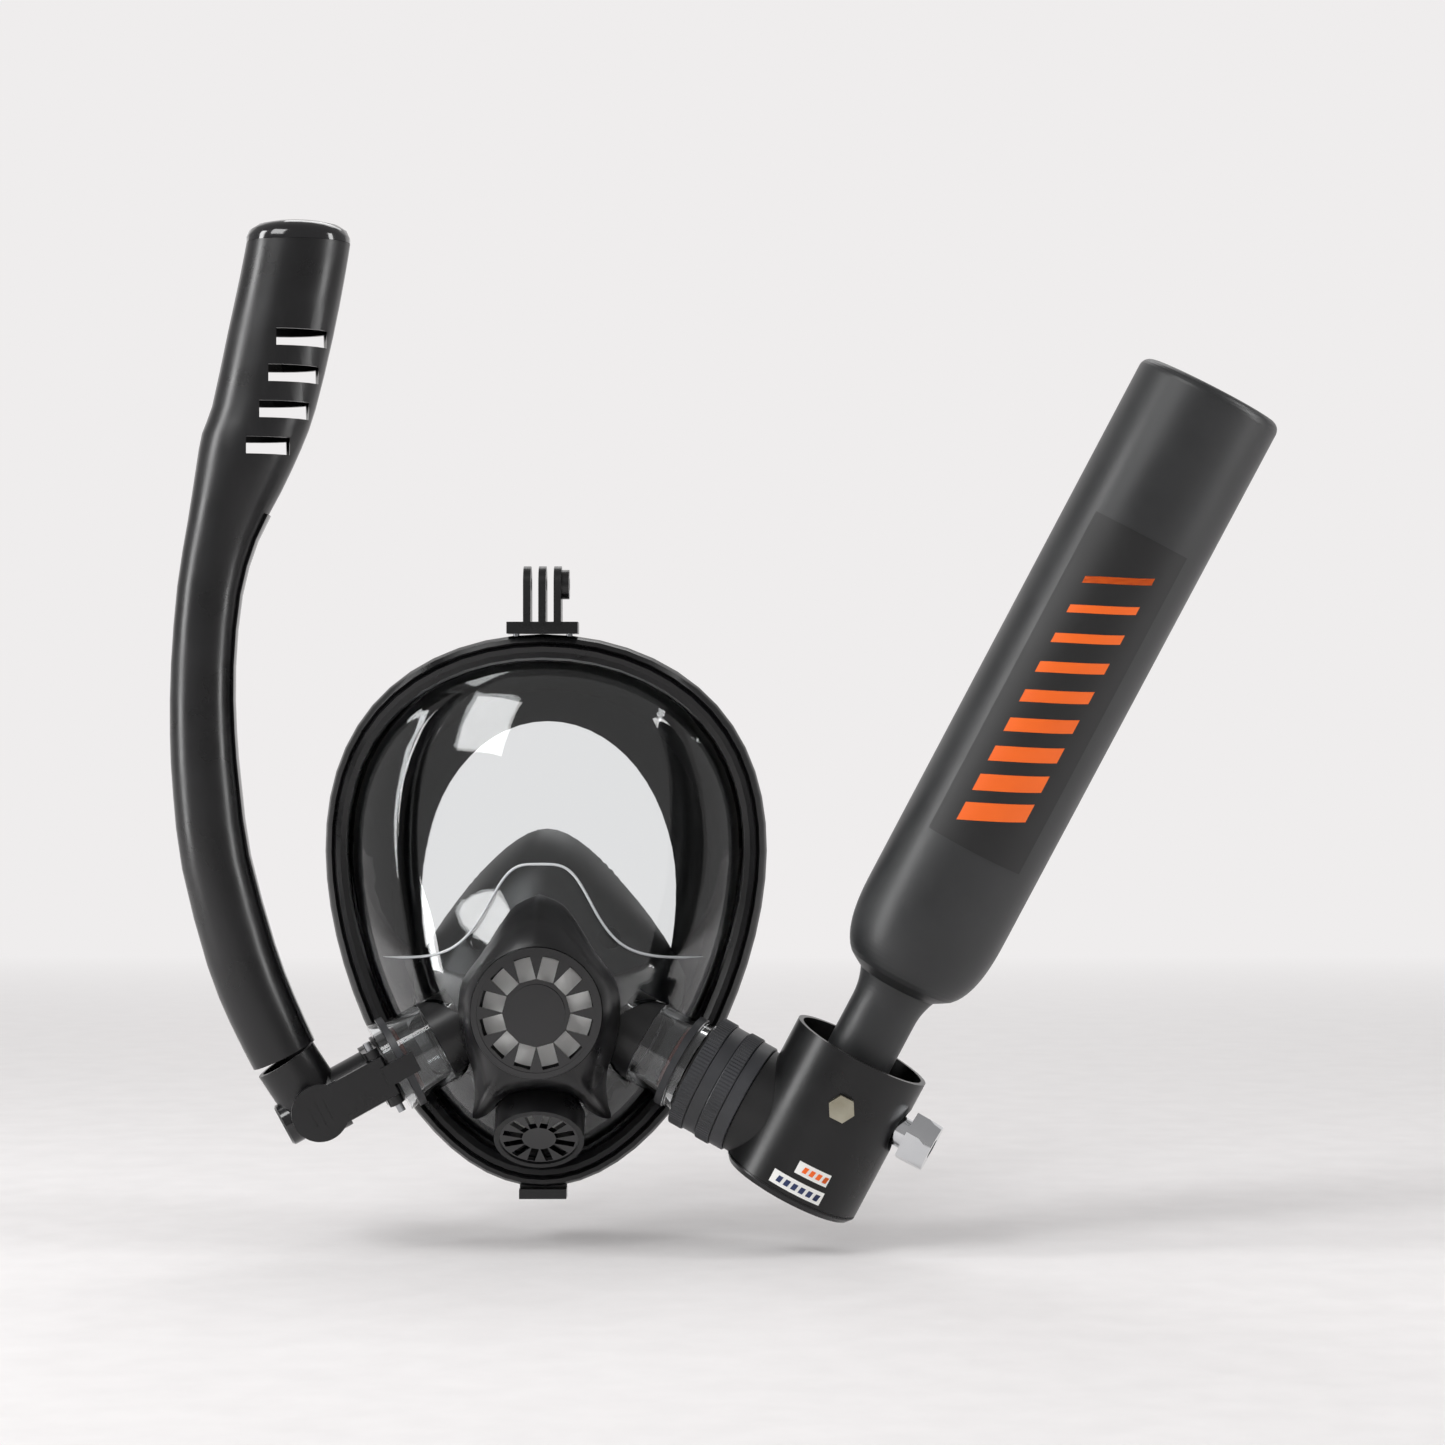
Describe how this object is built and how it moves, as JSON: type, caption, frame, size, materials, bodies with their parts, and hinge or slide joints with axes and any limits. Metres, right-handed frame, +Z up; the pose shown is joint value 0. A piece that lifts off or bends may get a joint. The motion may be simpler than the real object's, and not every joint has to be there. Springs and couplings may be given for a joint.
{
  "type": "full-face snorkel mask with air cylinder",
  "caption": "Full-face snorkel mask with a clear domed lens, a curved dry-top snorkel on a latched port and a small air cylinder with its valve cover on the other port.",
  "frame": {"origin": "middle of the face seal, on the wearer's centre plane", "axes": "+Z up, the wearer looks along -Y, +X to the right of a viewer who faces the mask"},
  "size_m": [0.4234, 0.1416, 0.3877],
  "materials": {
    "silicone_black": "satin moulded silicone",
    "silicone_milky": "satin moulded silicone",
    "abs_black": "fine satin",
    "gloss_black": "polished",
    "clear_lens": "clear polycarbonate",
    "tank_paint": "satin black paint",
    "cover_paint": "satin black anodised",
    "chrome_fitting": "polished",
    "nickel_plug": "rough nickel",
    "valve_brass": "machined",
    "steel_pin": "ground",
    "seal_red": "matt",
    "float_white": "matt",
    "nut_grey": "banded satin",
    "label_orange": "printed film",
    "mark_white": "printed film"
  },
  "bodies": {
    "mask": {"face_skirt": "silicone_black", "orinasal_pocket": "silicone_black", "lens": "clear_lens", "frame_front": "abs_black", "frame_back": "abs_black", "frame_screws": "steel_pin", "front_cover": "abs_black", "exhaust_grille": "gloss_black", "exhaust_seat": "abs_black", "drain_housing": "abs_black", "drain_grille": "gloss_black", "camera_mount": "abs_black", "camera_nut": "steel_pin", "port_ring_left": "nut_grey", "port_ring_right": "nut_grey", "port_duct_left": "abs_black", "port_duct_right": "abs_black"},
    "exhaust_valve": {"exhaust_flap": "silicone_milky"},
    "drain_valve": {"drain_flap": "silicone_milky"},
    "inhale_valve_left": {"inhale_flap_left": "silicone_black"},
    "inhale_valve_right": {"inhale_flap_right": "silicone_black"},
    "snorkel": {"snorkel_tube": "abs_black", "snorkel_strip": "gloss_black", "snorkel_cap": "gloss_black", "float_cage": "abs_black", "snorkel_elbow": "abs_black", "snorkel_seal": "seal_red", "purge_cap": "gloss_black", "latch_bracket": "abs_black", "latch_pin": "steel_pin"},
    "float_body": {"float": "float_white"},
    "latch": {"latch_lever": "abs_black"},
    "air_set": {"outlet_adaptor": "abs_black", "outlet_seal": "seal_red", "coupling_gasket": "silicone_black", "valve_cover": "cover_paint", "valve_block": "valve_brass", "lever_pin": "steel_pin", "piston_spring": "steel_pin", "fill_fitting": "chrome_fitting", "relief_plug": "nickel_plug", "neck_seal": "seal_red", "air_cylinder": "tank_paint", "label": "label_orange", "cover_marks": "mark_white"},
    "nut": {"coupling_nut": "nut_grey"},
    "diaphragm": {"demand_diaphragm": "silicone_black"},
    "valve_lever": {"demand_lever": "steel_pin"},
    "piston_body": {"piston": "valve_brass"}
  },
  "joints": [
    {"name": "exhaust_lift", "type": "slide", "parent": "mask", "child": "exhaust_valve", "axis": [0, -1, 0], "range_m": [0, 0.002], "stiffness_N_per_m": 30},
    {"name": "drain_lift", "type": "slide", "parent": "mask", "child": "drain_valve", "axis": [0, -0.7071, -0.7071], "range_m": [0, 0.002], "stiffness_N_per_m": 60},
    {"name": "inhale_lift_left", "type": "slide", "parent": "mask", "child": "inhale_valve_left", "axis": [0.4848, 0.8746, 0], "range_m": [0, 0.0015], "stiffness_N_per_m": 30},
    {"name": "inhale_lift_right", "type": "slide", "parent": "mask", "child": "inhale_valve_right", "axis": [-0.4848, 0.8746, 0], "range_m": [0, 0.0015], "stiffness_N_per_m": 30},
    {"name": "snorkel_swivel", "type": "hinge", "parent": "mask", "child": "snorkel", "pos_m": [-0.058, -0.06, -0.06], "axis": [-0.8667, -0.1685, -0.4695], "range_deg": [-20, 20]},
    {"name": "float_slide", "type": "slide", "parent": "snorkel", "child": "float_body", "axis": [0, 0, 1], "range_m": [0, 0.006]},
    {"name": "latch_press", "type": "hinge", "parent": "snorkel", "child": "latch", "pos_m": [-0.05962, -0.07712, -0.06258], "axis": [0.4608, 0.0896, -0.8829], "range_deg": [0, 7], "stiffness_Nm_per_rad": 0.3},
    {"name": "air_swivel", "type": "hinge", "parent": "mask", "child": "air_set", "pos_m": [0.058, -0.06, -0.06], "axis": [0.8667, -0.1685, -0.4695], "range_deg": [-30, 60]},
    {"name": "nut_turn", "type": "hinge", "parent": "air_set", "child": "nut", "pos_m": [0.058, -0.06, -0.06], "axis": [0.8667, -0.1685, -0.4695], "continuous": true},
    {"name": "diaphragm_lift", "type": "slide", "parent": "air_set", "child": "diaphragm", "axis": [0.4608, -0.0896, 0.8829], "range_m": [0, 0.0012], "stiffness_N_per_m": 150},
    {"name": "lever_tilt", "type": "hinge", "parent": "air_set", "child": "valve_lever", "pos_m": [0.10603, -0.06933, -0.10346], "axis": [0.1908, 0.9816, 0], "range_deg": [0, 10]},
    {"name": "piston_lift", "type": "slide", "parent": "air_set", "child": "piston_body", "axis": [0.4608, -0.0896, 0.8829], "range_m": [0, 0.001], "stiffness_N_per_m": 800}
  ],
  "couplings": [
    {"joint": "lever_tilt", "follows": "diaphragm_lift", "rad_per_m": 142.86}
  ]
}
